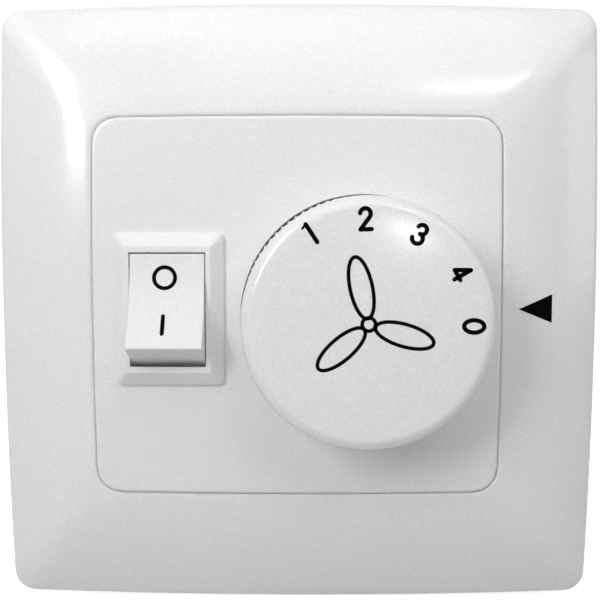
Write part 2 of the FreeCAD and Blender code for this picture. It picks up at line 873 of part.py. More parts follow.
def swung(y, z, degrees):
    """A point turned about the rocker's pivot, both measured from it."""
    angle = math.radians(degrees)
    return (y * math.cos(angle) - z * math.sin(angle), y * math.sin(angle) + z * math.cos(angle))


def cap_corners():
    """With the cap level: the middle of its front, the front edge of one end wall and that wall's lower edge."""
    half_travel = math.radians(cap_travel / 2)
    edge = swung(cap_half, cap_pivot_depth, cap_travel / 2)
    end = swung(cap_half - cap_end_taper, cap_pivot_depth - cap_end_depth, cap_travel / 2)
    dip = edge[0] * (1 - math.cos(half_travel)) / math.sin(half_travel)
    return (0.0, edge[1] - dip), edge, end


def placed(points, x=0.0):
    """Points measured from the rocker's pivot, put where the pivot is."""
    return [Vec(x, rocker_y + y, pivot_z + z) for y, z in points]


def cap_shell():
    """The cap's hollow shell, level, with a concave front and soft tips."""
    middle, edge, end = cap_corners()
    ear = (cap_ear_half, -cap_ear_depth)
    left = rocker_x - cap_width / 2
    under = placed([edge, end, ear] + [(-y, z) for y, z in (ear, end, edge)], left)
    front = Part.Arc(under[-1], placed([middle], left)[0], under[0]).toShape()
    solid = Part.Face(Part.Wire([front] + Part.makePolygon(under).Edges)).extrude(RIGHT * cap_width)
    tips = [e for e in solid.Edges if e.BoundBox.ZMin > pivot_z + edge[1] - cap_soft_edge]
    solid = solid.makeFillet(cap_soft_edge, tips)
    roof = (edge[0] - cap_skin, edge[1] - cap_edge_skin)
    low = (end[0] - cap_skin, -2 * cap_ear_depth)
    inside = placed([(0.0, middle[1] - cap_skin), roof, low] + [(-y, z) for y, z in (low, roof)], left + cap_skin)
    return solid.cut(polygon(inside).extrude(RIGHT * (cap_width - 2 * cap_skin)))


def rocker_cap():
    """Concave two-plane rocker with its trunnions and the plunger's boss, pressed at the O end."""
    middle = cap_corners()[0][1]
    centre = (rocker_x, rocker_y)
    boss = disc(boss_radius, pivot_z - boss_depth, pivot_z + middle - cap_skin / 2, centre)
    reach = cap_width / 2
    pins = [cross_pin(trunnion_radius, rocker_x - reach - trunnion_length, rocker_x - reach, rocker_y, pivot_z),
            cross_pin(trunnion_radius, rocker_x + reach, rocker_x + reach + trunnion_length, rocker_y, pivot_z)]
    cap = joined([cap_shell(), boss] + pins)
    bore = disc(boss_bore, pivot_z - boss_depth - beyond, pivot_z + middle - cap_skin, centre)
    return tilted_about_x(cap.cut(bore), -cap_travel / 2, rocker_y, pivot_z)


def rocker_plunger():
    """Pin with a tapered tip that slides in the cap's boss."""
    radius = boss_bore - plunger_gap
    centre = (rocker_x, rocker_y)
    tip = pivot_z - plunger_tip
    pin = disc(radius, tip + radius, pivot_z - plunger_seat, centre)
    point = Part.makeCone(plunger_point, radius, radius, Vec(rocker_x, rocker_y, tip), OUT)
    return tilted_about_x(pin.fuse(point), -cap_travel / 2, rocker_y, pivot_z)


def rocker_spring():
    """Coil spring between the plunger and the cap."""
    middle = cap_corners()[0][1]
    height = middle - cap_skin + plunger_seat
    spring = coil(boss_bore - 2 * rocker_spring_wire, rocker_spring_wire, height, rocker_spring_turns)
    spring.translate(Vec(rocker_x, rocker_y, pivot_z - plunger_seat))
    return tilted_about_x(spring, -cap_travel / 2, rocker_y, pivot_z)


def lever_lift(place):
    """How far the lever's bent arm lies above its middle at a distance from it."""
    return lever_rise * place / lever_half


def rocker_lever():
    """Bent contact lever with a contact under its upper end, tilted as the cap leaves it."""
    points = [(0.0, 0.0), (lever_half, lever_rise), (lever_half, lever_rise + lever_thick)]
    profile = points + [(0.0, lever_thick)] + [(-y, z) for y, z in reversed(points[1:])]
    profile = [(rocker_y + y, lever_z + z) for y, z in profile]
    lever = side_profile(profile, rocker_x - lever_width / 2, rocker_x + lever_width / 2)
    under = lever_z + lever_lift(contact_place)
    contact = disc(contact_radius, under - contact_thick, under + lever_thick / 2,
                   (rocker_x, rocker_y + contact_place))
    return tilted_about_x(lever.fuse(contact).removeSplitter(), lever_tilt, rocker_y, lever_z)


def rocker_common_terminal():
    """Centre tab whose knife edge carries the lever."""
    top = lever_z - knife_gap
    half = terminal_thick / 2
    points = [(-half, terminal_tip), (half, terminal_tip), (half, top - knife_height), (knife_width / 2, top),
              (-knife_width / 2, top), (-half, top - knife_height)]
    points = [(rocker_y + y, z) for y, z in points]
    return side_profile(points, rocker_x - terminal_width / 2, rocker_x + terminal_width / 2)


def fixed_contact_top():
    """Height of the fixed contact's face, which the closed lever just clears."""
    angle = math.radians(lever_tilt)
    lift = lever_lift(contact_place) - contact_thick
    reach = contact_place + contact_radius
    return lever_z + lift * math.cos(angle) - reach * math.sin(angle) - contact_gap


def rocker_switched_terminal():
    """End tab with a foot under the lever and the fixed contact."""
    y = terminal_places()[1]
    half = terminal_thick / 2
    foot_top = fixed_contact_top() - contact_thick
    inner = rocker_y + contact_place - contact_radius
    points = [(y - half, terminal_tip), (y + half, terminal_tip), (y + half, foot_top), (inner, foot_top),
              (inner, foot_top - terminal_thick), (y - half, foot_top - terminal_thick)]
    strip = side_profile(points, rocker_x - terminal_width / 2, rocker_x + terminal_width / 2)
    contact = disc(contact_radius, foot_top, foot_top + contact_thick, (rocker_x, rocker_y + contact_place))
    return strip.fuse(contact)


def stand_up(shape):
    """Turn a piece from its back against the wall: up the page becomes +Z."""
    copy = shape.copy()
    copy.rotate(ORIGIN, RIGHT, 90)
    return copy


def pieces():
    """Every piece by name."""
    made = {
        "mounting_yoke": mounting_yoke(),
        "outer_frame": outer_frame(),
        "centre_plate": centre_plate(),
        "knob": knob(),
        "knob_clip": knob_clip(),
        "rotary_shaft": rotary_shaft(),
        "bushing_plate": bushing_plate(),
        "lock_washer": lock_washer(),
        "bushing_nut": bushing_nut(),
        "index_housing": index_housing(),
        "index_rotor": index_rotor(),
        "detent_pin": detent_pin(),
        "detent_spring": detent_spring(),
        "contact_wafer": contact_wafer(),
        "contact_rotor": contact_rotor(),
        "rotor_blade": rotor_blade(),
        "common_clip": fixed_clip(common_tip_place, common_angle),
        "rocker_housing": rocker_housing(),
        "rocker_cap": rocker_cap(),
        "rocker_plunger": rocker_plunger(),
        "rocker_spring": rocker_spring(),
        "rocker_lever": rocker_lever(),
        "rocker_common_terminal": rocker_common_terminal(),
        "rocker_switched_terminal": rocker_switched_terminal(),
    }
    for speed, angle in clip_angles().items():
        made[f"speed_clip_{speed}"] = fixed_clip(tip_place, angle)
    return made


os.makedirs("parts", exist_ok=True)
for name, shape in pieces().items():
    stand_up(shape).exportStep(f"parts/{name}.step")
    solids = len(shape.Solids)
    print(f"{name}: {solids} solid(s), {shape.Volume:.1f} mm3, valid {shape.isValid()}")
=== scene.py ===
import bmesh
import bpy
import json
import math
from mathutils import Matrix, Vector
from types import SimpleNamespace


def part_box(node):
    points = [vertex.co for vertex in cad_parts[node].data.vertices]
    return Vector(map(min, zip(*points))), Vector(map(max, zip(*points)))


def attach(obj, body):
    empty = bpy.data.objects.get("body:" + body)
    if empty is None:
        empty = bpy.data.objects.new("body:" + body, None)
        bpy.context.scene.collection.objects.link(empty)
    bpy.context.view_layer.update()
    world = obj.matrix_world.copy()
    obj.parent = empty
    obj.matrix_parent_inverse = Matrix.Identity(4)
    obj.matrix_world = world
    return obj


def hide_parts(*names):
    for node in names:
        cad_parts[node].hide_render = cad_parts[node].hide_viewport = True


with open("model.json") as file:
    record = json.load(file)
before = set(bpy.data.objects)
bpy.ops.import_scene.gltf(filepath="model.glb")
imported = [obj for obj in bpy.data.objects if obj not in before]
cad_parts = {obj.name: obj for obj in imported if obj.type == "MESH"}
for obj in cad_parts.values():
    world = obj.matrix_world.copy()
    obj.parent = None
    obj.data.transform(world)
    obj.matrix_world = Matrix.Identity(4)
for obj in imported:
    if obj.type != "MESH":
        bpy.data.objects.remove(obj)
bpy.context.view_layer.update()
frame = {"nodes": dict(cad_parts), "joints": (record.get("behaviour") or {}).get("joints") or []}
nodes = frame["nodes"]
joints = {joint["name"]: joint for joint in frame["joints"]}

MM = 0.001


def plan(x, y, z):
    """A plan point (right, up, out of the wall) in millimetres as a place in the frame, in metres."""
    return Vector((x * MM, -z * MM, y * MM))


def measure(node):
    """A node's middle and size seen from the front, and how far it stands out, in millimetres."""
    low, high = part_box(node)
    middle = (low + high) / 2
    sizes = {"x": middle.x, "y": middle.z, "width": high.x - low.x, "height": high.z - low.z,
             "back": -high.y, "front": -low.y}
    return SimpleNamespace(**{name: round(size / MM, 3) for name, size in sizes.items()})


# What the frame gives
SURROUND = measure("outer_frame")
PANEL = measure("centre_plate")
KNOB = measure("knob")
PIVOT = Vector(joints["rocker_press"]["pos_m"])
CAP_LEAN = joints["rocker_press"]["range_deg"][1] / 2

# More sizes in millimetres and angles in degrees, as the solids have them. Only the gap round the plate, the
# knob's foot, and the depth and the reach of its serrations differ, to be closer to the photograph.
PANEL_CORNER = 3.7
PANEL_BOW = 0.25            # how far each side bulges in its middle
PANEL_PROUD = 0.4           # how far the plate stands out of the surround's window

FRAME_CORNER = 3.8
FRAME_BOW = 0.75
FRAME_SIDE = 1.8            # height of the upright side
FRAME_EDGE = 1.6            # radius of the round edge above it
FRAME_SLOPE = 30.0          # how steep the face starts at that edge
FRAME_CREST = PANEL.front - PANEL_PROUD
FRAME_WALL = 1.8
FRAME_INNER_WALL = 1.5
FRAME_LIP = 0.45            # radius of the window's edge
FRAME_GAP = 0.04            # between the window and the plate
FRAME_BAND = (SURROUND.width - PANEL.width - 2 * FRAME_GAP) / 2
LEDGE_TOP = 3.0
LEDGE_WIDTH = 1.5
YOKE_THICK = 1.2
HOLLOW_MARGIN_OUT = 0.9     # from the outer wall to the first ring of the hollow behind the face
HOLLOW_MARGIN_IN = 0.3      # from the inner wall to its last ring
HOLLOW_STEP_OUT = 0.4       # how far the outer wall's ring lies below the ring beside it
HOLLOW_STEP_IN = 0.2        # how far the inner wall's ring lies above the ring beside it

KNOB_FOOT_PROUD = 0.05      # how much further out the foot is than the solid's
KNOB_BASE_RADIUS = KNOB.width / 2 + KNOB_FOOT_PROUD
KNOB_TOP_RADIUS = 16.33
KNOB_ROUND = 1.8
KNOB_WALL = 1.7
KNOB_SKIN = 1.85
KNOB_INSIDE_TOP = KNOB.front - KNOB_SKIN
HUB_RADIUS = 4.9
HUB_BOTTOM = 9.6
SERRATIONS = 90
SERRATION_FORM = (1.0, 1.0, 1.0, 0.55, 0.0, 0.0, 0.0, 0.55)      # 1 on the ridge, 0 in the groove
SERRATION_FOOT_DEPTH = 0.52
SERRATION_TOP_DEPTH = 0.17
GRIP_TOP_GAP = 0.35         # from the last groove to the round edge
GRIP_FADE = 0.16            # height over which the grooves run out
FACE_RINGS = (12.0, 8.0, 3.0)

CAP_HALF_CHORD = 6.583      # half the length of the cap's concave front, straight across
CAP_EDGE = 4.71             # from the pivot to that straight line

# Straight runs that stand for the curves
SIDE_RUNS = 18
CORNER_RUNS = 10
EDGE_RUNS = 8
CROWN_RUNS = 14
LIP_RUNS = 6
GRIP_RUNS = 4
ROUND_RUNS = 12
POINTER_RUNS = 14

# Print: its lift is how far it stands out of what carries it, and its sink how far it reaches in
PRINT_SINK = 0.02
KNOB_PRINT_LIFT = 0.012
ROCKER_PRINT_LIFT = 0.03
POINTER_LIFT = 0.015
POINTER_SINK = 0.03
POINTER_TIP = (30.54, 0.10)
POINTER_UPPER = (35.42, 2.13)
POINTER_LOWER = (35.51, -1.89)
POINTER_TIP_HALF = 0.02
FAN_STROKE = 0.47
FAN_HUB = (-0.05, 0.10)
FAN_HUB_RADIUS = 0.84
BLADE_START = 0.84
BLADE_HALF_WIDTH = 1.40
BLADES = ((102.3, 8.75), (-16.2, 8.42), (221.0, 8.42))      # direction and reach
OFF_RING = (-0.30, 3.36)
OFF_RING_RADIUS = 1.43
OFF_RING_STROKE = 0.53
ON_BAR = [(-0.32, -1.93), (-0.33, -4.45)]
ON_BAR_STROKE = 0.54

# Camera: it looks a little down and to the left
CAMERA_PLACE = (0.75, 9.0, 117.25)
CAMERA_TILT = 3.965
CAMERA_YAW = 0.295
CAMERA_SENSOR = 36.0
CAMERA_LENS = 47.676

# Floor and background
FLOOR_DROP = 0.1            # how far below the plate the floor lies
FLOOR_REACH = 6.0           # metres to each side
FLOOR_TONE = 0.63
FLOOR_GLOW_NEAR = 0.80      # how bright the camera sees it near the object and further off
FLOOR_GLOW_FAR = 1.0
FLOOR_GLOW_START = 0.10     # metres from the object's middle
FLOOR_GLOW_END = 0.45
WORLD_LIGHT = 0.035
WORLD_SEEN = 1.0

# What the lamps point at, in metres: the face, the left and right highlights, a corner and the knob
FACE = (0, 0, 0.005)
LEFT_BAND = (-0.032, -0.007, 0.029)
RIGHT_SPOT = (0.025, -0.007, 0.031)
LEFT_CORNER = (-0.036, -0.005, 0.037)
KNOB_SIDE = (0.008, 0, 0)
# Each lamp: what it points at, azimuth, elevation, distance, width and height in metres, power in watts.
# Azimuth 0 is straight before the plate and grows to the right.
LAMPS = {
    "left_window": (LEFT_BAND, -35.05, 19.33, 0.200, 0.035, 0.13, 0.095),
    "left_middle": (LEFT_BAND, -34.0, 21.2, 0.350, 0.06, 0.19, 0.16),
    "left_far": (LEFT_BAND, -34.0, 21.2, 0.600, 0.10, 0.30, 0.52),
    "right_window": (RIGHT_SPOT, 18.4, 30.9, 0.200, 0.065, 0.02, 0.042),
    "corner_left": (LEFT_CORNER, -45.3, 38.4, 0.200, 0.055, 0.015, 0.008),
    "upper_left": (FACE, -32.5, 28.2, 0.200, 0.08, 0.08, 0.018),
    "upper_right": (FACE, 24.8, 45.4, 0.204, 0.05, 0.05, 0.013),
    "near_top": (FACE, 1.2, 46.7, 0.1415, 0.07, 0.07, 0.023),
    "top": (FACE, 0.0, 66.0, 0.200, 0.16, 0.06, 0.056),
    "top_right": (FACE, 57.8, 40.2, 0.200, 0.12, 0.12, 0.046),
    "top_left": (FACE, -57.8, 40.2, 0.200, 0.12, 0.12, 0.040),
    "right": (FACE, 76.7, 8.7, 0.1975, 0.08, 0.08, 0.040),
    "beside_camera": (KNOB_SIDE, 9.53, 6.16, 0.1397, 0.0115, 0.008, 0.007),
    "behind_left": (FACE, -148.4, 23.9, 0.334, 0.16, 0.16, 0.13),
    "behind_right": (FACE, 148.4, 17.3, 0.320, 0.16, 0.16, 0.09),
}


def mix(start, end, share):
    return start + (end - start) * share


def turned(x, y, degrees):
    """A plan point turned round the origin."""
    angle = math.radians(degrees)
    return x * math.cos(angle) - y * math.sin(angle), x * math.sin(angle) + y * math.cos(angle)


# Camera

def make_camera():
    data = bpy.data.cameras.new("camera")
    data.sensor_width = CAMERA_SENSOR
    data.lens = CAMERA_LENS
    data.clip_start = 0.005
    data.clip_end = 20.0
    camera = bpy.data.objects.new("camera", data)
    bpy.context.scene.collection.objects.link(camera)
    camera.location = plan(*CAMERA_PLACE)
    camera.rotation_euler = (math.radians(90 - CAMERA_TILT), 0.0, math.radians(CAMERA_YAW))
    bpy.context.scene.camera = camera


# Materials

def new_material(name):
    """A material with an empty Principled shader, and where on the object each point lies."""
    material = bpy.data.materials.new(name)
    material.use_nodes = True
    tree = material.node_tree
    tree.nodes.clear()
    out = tree.nodes.new("ShaderNodeOutputMaterial")
    shader = tree.nodes.new("ShaderNodeBsdfPrincipled")
    tree.links.new(shader.outputs["BSDF"], out.inputs["Surface"])
    coords = tree.nodes.new("ShaderNodeTexCoord").outputs["Object"]
    return material, tree, shader, coords


def noise(tree, coords, scale, detail=3.0, rough=0.5):
    node = tree.nodes.new("ShaderNodeTexNoise")
    node.inputs["Scale"].default_value = scale
    node.inputs["Detail"].default_value = detail
    node.inputs["Roughness"].default_value = rough
    tree.links.new(coords, node.inputs["Vector"])
    return node.outputs["Fac"]


def stretched(tree, coords, scale):
    node = tree.nodes.new("ShaderNodeMapping")
    node.inputs["Scale"].default_value = scale
    tree.links.new(coords, node.inputs["Vector"])
    return node.outputs["Vector"]


def spread(tree, value, low, high, start=0.3, end=0.7):
    """A value between start and end as one between low and high."""
    node = tree.nodes.new("ShaderNodeMapRange")
    node.inputs["From Min"].default_value = start
    node.inputs["From Max"].default_value = end
    node.inputs["To Min"].default_value = low
    node.inputs["To Max"].default_value = high
    tree.links.new(value, node.inputs["Value"])
    return node.outputs["Result"]


def ramp(tree, value, dark, light, start=0.3, end=0.7):
    """A value between start and end as a colour between dark and light."""
    node = tree.nodes.new("ShaderNodeValToRGB")
    node.color_ramp.elements[0].position = start
    node.color_ramp.elements[1].position = end
    node.color_ramp.elements[0].color = (*dark, 1)
    node.color_ramp.elements[1].color = (*light, 1)
    tree.links.new(value, node.inputs["Fac"])
    return node.outputs["Color"]


def bump(tree, height, distance, strength, under=None):
    node = tree.nodes.new("ShaderNodeBump")
    node.inputs["Distance"].default_value = distance
    node.inputs["Strength"].default_value = strength
    tree.links.new(height, node.inputs["Height"])
    if under is not None:
        tree.links.new(under, node.inputs["Normal"])
    return node.outputs["Normal"]


def soft_edges(tree, radius):
    node = tree.nodes.new("ShaderNodeBevel")
    node.samples = 6
    node.inputs["Radius"].default_value = radius
    return node.outputs["Normal"]


def math_node(tree, operation, first, second):
    """A Math node of two inputs, each a number or another node's output."""
    node = tree.nodes.new("ShaderNodeMath")
    node.operation = operation
    for socket, value in zip(node.inputs, (first, second)):
        if isinstance(value, float):
            socket.default_value = value
        else:
            tree.links.new(value, socket)
    return node.outputs[0]


def plastic(name, dark, light, rough, grain, edge=0.0):
    """Moulded plastic: faint cloudiness, a fine spark-eroded grain and a soft sheen."""
    cloud_share = 0.12
    speck_share = 0.88
    rough_change = 0.04
    material, tree, shader, coords = new_material(name)
    cloud = noise(tree, coords, scale=45.0, detail=1.0)
    fine = noise(tree, coords, scale=2600.0, detail=2.0, rough=0.6)
    speck = noise(tree, coords, scale=3400.0, detail=1.0)
    tone = math_node(tree, "ADD", math_node(tree, "MULTIPLY", cloud, cloud_share),
                     spread(tree, speck, low=0.0, high=speck_share))
    sheen = spread(tree, cloud, low=rough - rough_change, high=rough + rough_change, start=0.0, end=1.0)
    under = soft_edges(tree, edge) if edge else None
    relief = bump(tree, fine, distance=0.00002, strength=grain, under=under)
    tree.links.new(ramp(tree, tone, dark, light, start=0.0, end=1.0), shader.inputs["Base Color"])
    tree.links.new(sheen, shader.inputs["Roughness"])
    tree.links.new(relief, shader.inputs["Normal"])
    shader.inputs["Specular IOR Level"].default_value = 0.45
    return material


def metal(name, dark, light, rough, stretch, scratch):
    """Plated or rolled metal: blotchy tone, fine drawn lines and a worn sheen."""
    material, tree, shader, coords = new_material(name)
    lines = noise(tree, stretched(tree, coords, stretch), scale=900.0, detail=4.0, rough=0.6)
    blotch = noise(tree, coords, scale=160.0, detail=4.0, rough=0.6)
    relief = bump(tree, lines, distance=0.00002, strength=scratch, under=soft_edges(tree, 0.0001))
    tree.links.new(ramp(tree, blotch, dark, light), shader.inputs["Base Color"])
    tree.links.new(spread(tree, lines, low=rough - 0.08, high=rough + 0.12), shader.inputs["Roughness"])
    tree.links.new(relief, shader.inputs["Normal"])
    shader.inputs["Metallic"].default_value = 1.0
    return material


def ink(name):
    """Black pad print, a little uneven and less glossy than the plastic."""
    dark = (0.0004, 0.0004, 0.0004)
    light = (0.0012, 0.0012, 0.0012)
    material, tree, shader, coords = new_material(name)
    patch = noise(tree, coords, scale=1500.0, detail=3.0)
    relief = bump(tree, patch, distance=0.00001, strength=0.3)
    tree.links.new(ramp(tree, patch, dark, light), shader.inputs["Base Color"])
    tree.links.new(spread(tree, patch, low=0.42, high=0.6), shader.inputs["Roughness"])
    tree.links.new(relief, shader.inputs["Normal"])
    shader.inputs["Specular IOR Level"].default_value = 0.02
    return material


def laminate(name):
    """Brown paper laminate with a mottled, faintly fibrous face."""
    dark = (0.20, 0.095, 0.045)
    light = (0.36, 0.20, 0.10)
    material, tree, shader, coords = new_material(name)
    fibre = noise(tree, stretched(tree, coords, (1.0, 1.0, 6.0)), scale=700.0, detail=5.0, rough=0.65)
    relief = bump(tree, fibre, distance=0.00003, strength=0.4, under=soft_edges(tree, 0.00008))
    tree.links.new(ramp(tree, fibre, dark, light), shader.inputs["Base Color"])
    tree.links.new(spread(tree, fibre, low=0.45, high=0.65), shader.inputs["Roughness"])
    tree.links.new(relief, shader.inputs["Normal"])
    return material


MATERIALS = {
    "white": plastic("white_plastic", dark=(0.74, 0.745, 0.745), light=(0.83, 0.83, 0.825),
                     rough=0.26, grain=0.35, edge=0.0003),
    "frame": plastic("surround_plastic", dark=(0.745, 0.75, 0.75), light=(0.835, 0.835, 0.83),
                     rough=0.18, grain=0.3),
    "knob": plastic("knob_plastic", dark=(0.745, 0.75, 0.75), light=(0.835, 0.835, 0.83),
                    rough=0.15, grain=0.2),
    "rocker": plastic("rocker_plastic", dark=(0.755, 0.76, 0.76), light=(0.835, 0.835, 0.83),
                      rough=0.42, grain=0.2, edge=0.00015),
    "dark": plastic("dark_plastic", dark=(0.022, 0.022, 0.024), light=(0.035, 0.035, 0.037),
                    rough=0.45, grain=0.6, edge=0.0001),
    "natural": plastic("natural_plastic", dark=(0.55, 0.52, 0.44), light=(0.62, 0.59, 0.50),
                       rough=0.42, grain=0.4, edge=0.0001),
    "steel": metal("yoke_steel", dark=(0.50, 0.51, 0.52), light=(0.64, 0.65, 0.65),
                   rough=0.36, stretch=(1.0, 1.0, 9.0), scratch=0.5),
    "plated": metal("plated_steel", dark=(0.55, 0.55, 0.53), light=(0.68, 0.68, 0.65),
                    rough=0.33, stretch=(1.0, 1.0, 1.0), scratch=0.3),
    "spring": metal("spring_steel", dark=(0.40, 0.41, 0.43), light=(0.52, 0.53, 0.55),
                    rough=0.30, stretch=(1.0, 1.0, 1.0), scratch=0.4),
    "brass": metal("contact_brass", dark=(0.62, 0.44, 0.18), light=(0.76, 0.57, 0.27),
                   rough=0.30, stretch=(1.0, 6.0, 1.0), scratch=0.4),
    "laminate": laminate("wafer_laminate"),
    "ink": ink("black_print"),
}
NODE_MATERIALS = {
    "mounting_yoke": "steel", "centre_plate": "white", "outer_frame": "frame", "knob": "knob",
    "rocker_housing": "rocker", "rocker_cap": "rocker", "rocker_plunger": "natural",
    "rocker_spring": "spring", "rocker_lever": "brass", "rocker_common_terminal": "brass",
    "rocker_switched_terminal": "brass", "knob_clip": "spring", "rotary_shaft": "plated",
    "bushing_plate": "plated", "lock_washer": "spring", "bushing_nut": "plated", "index_housing": "dark",
    "index_rotor": "natural", "detent_pin": "brass", "detent_spring": "spring",
    "contact_wafer": "laminate", "contact_rotor": "laminate", "rotor_blade": "brass", "common_clip": "brass",
    "speed_clip_1": "brass", "speed_clip_2": "brass", "speed_clip_3": "brass", "speed_clip_4": "brass",
}


def dress_nodes():
    for node, material in NODE_MATERIALS.items():
        mesh = nodes[node].data
        mesh.materials.clear()
        mesh.materials.append(MATERIALS[material])


# Meshes

def mesh_object(name, points, faces, smooth_angle=None):
    """A mesh of its own. Edges sharper than smooth_angle stay sharp, and all of them without it."""
    mesh = bpy.data.meshes.new(name)
    mesh.from_pydata([point[:] for point in points], [], faces)
    mesh.validate()
    obj = bpy.data.objects.new(name, mesh)
    bpy.context.scene.collection.objects.link(obj)
    if smooth_angle:
        mesh.shade_smooth()
        mesh.set_sharp_from_angle(angle=math.radians(smooth_angle))
    return obj


def bridge(here, there, count):
    """Faces between two rings of count points, which start at the points here and there."""
    faces = []
    for i in range(count):
        j = (i + 1) % count
        faces.append((here + i, here + j, there + j, there + i))
    return faces


def outline(half_w, half_h, corner, bow, x, y):
    """A closed outline with round corners whose sides bulge by bow."""
    end_w = half_w - bow
    end_h = half_h - bow
    run_w = half_w - corner
    run_h = half_h - corner
    points = []
    for turn in range(4):
        upright = turn % 2 == 0
        reach, run, end = (half_w, run_h, end_w) if upright else (half_h, run_w, end_h)
        across = run_w if upright else run_h
        rise = end_h - run_h if upright else end_w - run_w
        local = []
        for step in range(SIDE_RUNS):
            along = 2 * step / SIDE_RUNS - 1
            local.append((reach - bow * along ** 2, run * along))
        for step in range(CORNER_RUNS):
            angle = math.pi / 2 * step / CORNER_RUNS
            local.append((across + (end - across) * math.cos(angle), run + rise * math.sin(angle)))
        for out, side in local:
            spot = ((out, side), (-side, out), (-out, -side), (side, -out))[turn]
            points.append((x + spot[0], y + spot[1]))
    return points


# Surround

def frame_profile():
    """Share of the way in and height, over the round edge and then over the convex face."""
    start = math.radians(FRAME_SLOPE)
    edge = []
    for step in range(EDGE_RUNS + 1):
        angle = mix(math.pi / 2, start, step / EDGE_RUNS)
        edge.append((FRAME_EDGE * (1 - math.sin(angle)), FRAME_SIDE + FRAME_EDGE * math.cos(angle)))
    inset, height = edge[-1]
    rise = FRAME_CREST - height
    run = FRAME_BAND - inset
    half_turn = start - math.atan2(rise, run)
    radius = math.hypot(rise, run) / (2 * math.sin(half_turn))
    crown = []
    for step in range(1, CROWN_RUNS + 1):
        angle = mix(start, start - 2 * half_turn, step / CROWN_RUNS)
        crown.append((inset + radius * (math.sin(start) - math.sin(angle)),
                      height + radius * (math.cos(angle) - math.cos(start))))
    return [(inset / FRAME_BAND, z) for inset, z in edge], [(inset / FRAME_BAND, z) for inset, z in crown]


def frame_ring(share, bow, inset=0.0):
    """The frame's outline at a share of the way from its outer edge to its window."""
    half_w = mix(SURROUND.width, PANEL.width + 2 * FRAME_GAP, share) / 2 - inset
    half_h = mix(SURROUND.height, PANEL.height + 2 * FRAME_GAP, share) / 2 - inset
    corner = mix(FRAME_CORNER, PANEL_CORNER + FRAME_GAP, share) - inset * (1 - share) / 2
    return outline(half_w, half_h, corner, mix(bow, min(bow, PANEL_BOW), share),
                   mix(0.0, PANEL.x, share), mix(0.0, PANEL.y, share))


def window_ring(grow):
    """The window's outline, wider by grow on each side."""
    return outline(PANEL.width / 2 + FRAME_GAP + grow, PANEL.height / 2 + FRAME_GAP + grow,
                   PANEL_CORNER + FRAME_GAP + grow, PANEL_BOW, PANEL.x, PANEL.y)


def make_surround():
    """The surround as one smooth closed shell: its front, its window and the hollow behind its face."""
    edge, crown = frame_profile()
    front = [(frame_ring(0.0, FRAME_BOW), 0.0)]
    front += [(frame_ring(share, FRAME_BOW), z) for share, z in edge + crown[:-1]]
    for step in range(LIP_RUNS + 1):
        angle = math.pi / 2 * (1 - step / LIP_RUNS)
        front.append((window_ring(FRAME_LIP - FRAME_LIP * math.cos(angle)),
                      FRAME_CREST - FRAME_LIP + FRAME_LIP * math.sin(angle)))
    hollow = []
    for share, z in reversed(edge[-1:] + crown[:-1]):
        inset = share * FRAME_BAND
        past_outer = inset > FRAME_WALL + HOLLOW_MARGIN_OUT
        past_inner = FRAME_BAND - inset > FRAME_INNER_WALL + HOLLOW_MARGIN_IN
        if past_outer and past_inner:
            hollow.append((frame_ring(share, 0.0), z - FRAME_WALL))
    window = [(window_ring(0.0), LEDGE_TOP), (window_ring(-LEDGE_WIDTH), LEDGE_TOP),
              (window_ring(-LEDGE_WIDTH), YOKE_THICK), (window_ring(FRAME_INNER_WALL), YOKE_THICK),
              (window_ring(FRAME_INNER_WALL), hollow[0][1] + HOLLOW_STEP_IN)]
    wall = frame_ring(0.0, 0.0, FRAME_WALL + FRAME_BOW)
    hollow += [(wall, hollow[-1][1] - HOLLOW_STEP_OUT), (wall, 0.0)]
    rings = [[plan(x, y, z) for x, y in ring] for ring, z in front + window + hollow]
    count = len(rings[0])
    faces = []
    for k in range(len(rings)):
        faces += bridge(k * count, (k + 1) % len(rings) * count, count)
    surround = mesh_object("surround", [point for ring in rings for point in ring], faces, smooth_angle=32)
    surround.data.materials.append(MATERIALS["frame"])
    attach(surround, "plate")
    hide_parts("outer_frame")


# Knob

def knob_ring(radius, z, depth=0.0):
    """One ring of the knob, with grooves of a depth between its serrations."""
    form_count = len(SERRATION_FORM)
    count = SERRATIONS * form_count
    ring = []
    for i in range(count):
        angle = 2 * math.pi * (i - 1) / count
        reach = radius - depth * (1 - SERRATION_FORM[i % form_count])
        ring.append(plan(KNOB.x + reach * math.cos(angle), KNOB.y + reach * math.sin(angle), z))
    return ring


